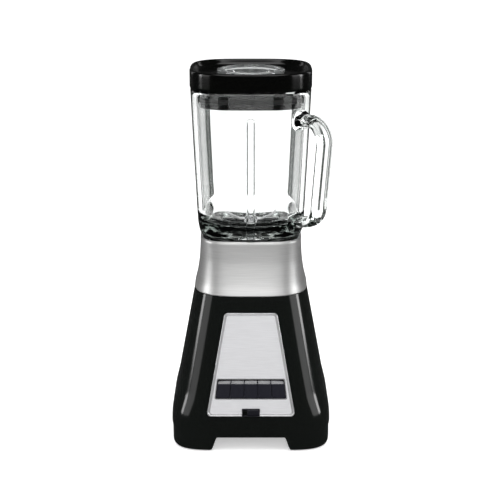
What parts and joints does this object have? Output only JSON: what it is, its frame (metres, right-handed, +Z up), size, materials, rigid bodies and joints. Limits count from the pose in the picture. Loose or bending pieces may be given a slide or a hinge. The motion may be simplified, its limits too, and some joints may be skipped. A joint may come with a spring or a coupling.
{
  "type": "countertop blender",
  "caption": "Countertop blender: square clear glass jar with a corner handle, lid with filler cap, blade unit, and a tapered motor base with keys and a range switch.",
  "frame": {"origin": "on the counter under the drive axis, at the centre of the base's footprint", "axes": "+Z up along the drive axis, -Y to the front panel, +X to the right seen from the front"},
  "size_m": [0.168, 0.1686, 0.3915],
  "materials": {
    "gloss_black": "moulded high-gloss black plastic",
    "lid_black": "satin-gloss black plastic",
    "clear_plastic": "translucent clear plastic",
    "jar_glass": "thick clear glass, fire polished",
    "brushed_metal": "brushed nickel shell",
    "panel_silver": "satin silver plate",
    "chrome_trim": "bright trim",
    "key_black": "satin dark keys",
    "black_rubber": "soft moulded rubber",
    "grey_rubber": "sealing rubber",
    "inner_plastic": "moulded plastic",
    "blade_steel": "ground stainless steel",
    "bronze": "sintered bronze",
    "screw_steel": "zinc plated steel",
    "lamination": "varnished lamination stack",
    "copper": "varnished copper winding",
    "bracket_aluminium": "die-cast aluminium",
    "carbon": "pressed carbon"
  },
  "bodies": {
    "base": {"base_housing": "gloss_black", "cord_gland": "black_rubber", "bottom_cover": "inner_plastic", "cover_screws": "screw_steel", "foot_1": "black_rubber", "foot_2": "black_rubber", "foot_3": "black_rubber", "foot_4": "black_rubber", "panel_frame": "chrome_trim", "control_panel": "panel_silver", "switch_bank": "inner_plastic", "switch_surround": "key_black", "slide_switch": "inner_plastic", "jar_collar": "brushed_metal", "jar_seat": "inner_plastic", "seat_screws": "screw_steel", "stator_core": "lamination", "field_coils": "copper", "lower_bracket": "bracket_aluminium", "upper_bracket": "bracket_aluminium", "lower_bearing": "bronze", "upper_bearing": "bronze", "brush_holders": "bronze", "carbon_brushes": "carbon", "motor_mounts": "black_rubber", "motor_bolts": "screw_steel"},
    "motor_rotor": {"motor_shaft": "screw_steel", "drive_stud": "screw_steel", "armature_core": "lamination", "armature_windings": "copper", "commutator": "copper", "cooling_fan": "inner_plastic"},
    "key_1": {"key_1": "key_black"},
    "key_2": {"key_2": "key_black"},
    "key_3": {"key_3": "key_black"},
    "key_4": {"key_4": "key_black"},
    "key_5": {"key_5": "key_black"},
    "range_knob": {"range_knob": "key_black"},
    "jar_foot": {"jar_nut": "inner_plastic", "blade_housing": "inner_plastic", "blade_bush": "bronze"},
    "blade_rotor": {"blade_shaft": "blade_steel", "blade_coupling": "screw_steel", "blade_washer": "blade_steel", "lower_blade": "blade_steel", "upper_blade": "blade_steel", "blade_nut": "blade_steel"},
    "gasket": {"jar_gasket": "grey_rubber"},
    "jar": {"jar_glass": "jar_glass"},
    "lid": {"lid": "lid_black", "lid_seal": "black_rubber"},
    "filler_cap": {"filler_cap": "clear_plastic"}
  },
  "joints": [
    {"name": "motor_spin", "type": "hinge", "parent": "base", "child": "motor_rotor", "pos_m": [0, 0, 0.085], "axis": [0, 0, 1], "continuous": true},
    {"name": "jar_lift", "type": "slide", "parent": "base", "child": "jar_foot", "axis": [0, 0, 1], "range_m": [0, 0.12]},
    {"name": "blade_spin", "type": "hinge", "parent": "jar_foot", "child": "blade_rotor", "pos_m": [0, 0, 0.2], "axis": [0, 0, 1], "continuous": true},
    {"name": "thread_rise", "type": "slide", "parent": "jar_foot", "child": "gasket", "axis": [0, 0, 1], "range_m": [0, 0.0081]},
    {"name": "jar_unscrew", "type": "hinge", "parent": "gasket", "child": "jar", "pos_m": [0, 0, 0.2], "axis": [0, 0, 1], "range_deg": [0, 360]},
    {"name": "lid_lift", "type": "slide", "parent": "jar", "child": "lid", "axis": [0, 0, 1], "range_m": [0, 0.06]},
    {"name": "cap_lift", "type": "slide", "parent": "lid", "child": "filler_cap", "axis": [0, 0, 1], "range_m": [0, 0.05]},
    {"name": "key_1_press", "type": "slide", "parent": "base", "child": "key_1", "axis": [0, 0.9825, -0.1864], "range_m": [0, 0.003], "stiffness_N_per_m": 400, "springref_m": -0.001},
    {"name": "key_2_press", "type": "slide", "parent": "base", "child": "key_2", "axis": [0, 0.9825, -0.1864], "range_m": [0, 0.003], "stiffness_N_per_m": 400, "springref_m": -0.001},
    {"name": "key_3_press", "type": "slide", "parent": "base", "child": "key_3", "axis": [0, 0.9825, -0.1864], "range_m": [0, 0.003], "stiffness_N_per_m": 400, "springref_m": -0.001},
    {"name": "key_4_press", "type": "slide", "parent": "base", "child": "key_4", "axis": [0, 0.9825, -0.1864], "range_m": [0, 0.003], "stiffness_N_per_m": 400, "springref_m": -0.001},
    {"name": "key_5_press", "type": "slide", "parent": "base", "child": "key_5", "axis": [0, 0.9825, -0.1864], "range_m": [0, 0.003], "stiffness_N_per_m": 400, "springref_m": -0.001},
    {"name": "range_slide", "type": "slide", "parent": "base", "child": "range_knob", "axis": [-1, 0, 0], "range_m": [0, 0.004]}
  ],
  "couplings": [
    {"joint": "blade_spin", "follows": "motor_spin", "ratio": 1},
    {"joint": "thread_rise", "follows": "jar_unscrew", "m_per_rad": 0.0012732}
  ]
}
